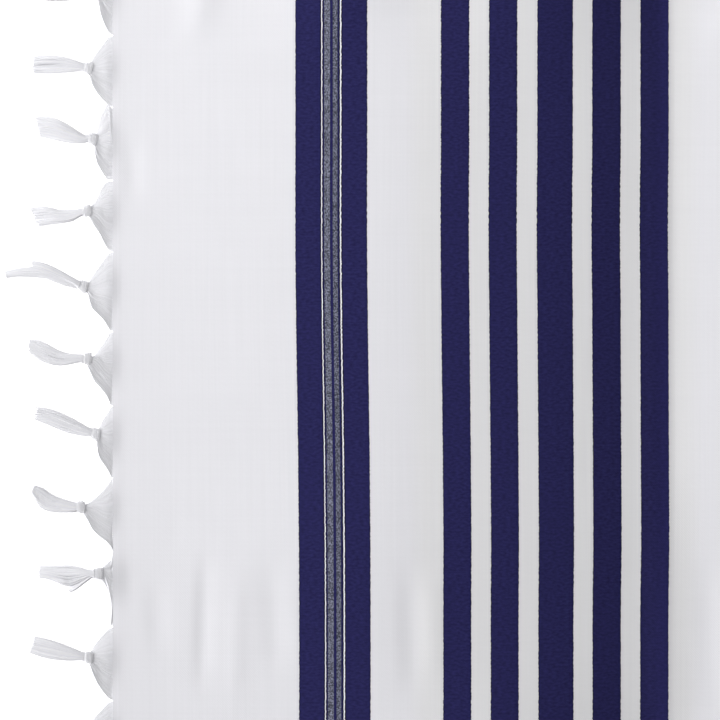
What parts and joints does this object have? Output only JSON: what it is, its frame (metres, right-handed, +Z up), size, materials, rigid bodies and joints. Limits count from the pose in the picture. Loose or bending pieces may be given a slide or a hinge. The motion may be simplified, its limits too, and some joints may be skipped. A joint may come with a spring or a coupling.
{
  "type": "tallit prayer shawl",
  "caption": "Striped prayer shawl laid out flat, with tied tassels along both short ends and a knotted ritual fringe at each corner.",
  "frame": {"origin": "on the table under the middle of the cloth, which is the bottom centre of the whole shawl's box", "axes": "+X along the cloth's length from the left fringed end to the right one, +Y across it to the back edge, +Z up from the table"},
  "size_m": [1.8096, 0.7894, 0.0081],
  "materials": {
    "cloth": "smooth plain-woven white wool with woven dark blue and grey stripes across each end",
    "fringe_yarn": "soft white warp yarn, gathered and knotted",
    "ritual_string": "twisted white wool string, wound and knotted"
  },
  "bodies": {
    "root": {"shawl": "cloth", "tassel_left_01": "fringe_yarn", "tassel_left_02": "fringe_yarn", "tassel_left_03": "fringe_yarn", "tassel_left_04": "fringe_yarn", "tassel_left_05": "fringe_yarn", "tassel_left_06": "fringe_yarn", "tassel_left_07": "fringe_yarn", "tassel_left_08": "fringe_yarn", "tassel_left_09": "fringe_yarn", "tassel_left_10": "fringe_yarn", "tassel_left_11": "fringe_yarn", "tassel_left_12": "fringe_yarn", "tassel_left_13": "fringe_yarn", "tassel_left_14": "fringe_yarn", "tassel_left_15": "fringe_yarn", "tassel_left_16": "fringe_yarn", "tassel_right_01": "fringe_yarn", "tassel_right_02": "fringe_yarn", "tassel_right_03": "fringe_yarn", "tassel_right_04": "fringe_yarn", "tassel_right_05": "fringe_yarn", "tassel_right_06": "fringe_yarn", "tassel_right_07": "fringe_yarn", "tassel_right_08": "fringe_yarn", "tassel_right_09": "fringe_yarn", "tassel_right_10": "fringe_yarn", "tassel_right_11": "fringe_yarn", "tassel_right_12": "fringe_yarn", "tassel_right_13": "fringe_yarn", "tassel_right_14": "fringe_yarn", "tassel_right_15": "fringe_yarn", "tassel_right_16": "fringe_yarn", "tzitzit_left_back_stem": "ritual_string", "tzitzit_left_back_strands": "ritual_string", "tzitzit_left_front_stem": "ritual_string", "tzitzit_left_front_strands": "ritual_string", "tzitzit_right_back_stem": "ritual_string", "tzitzit_right_back_strands": "ritual_string", "tzitzit_right_front_stem": "ritual_string", "tzitzit_right_front_strands": "ritual_string"}
  },
  "joints": []
}
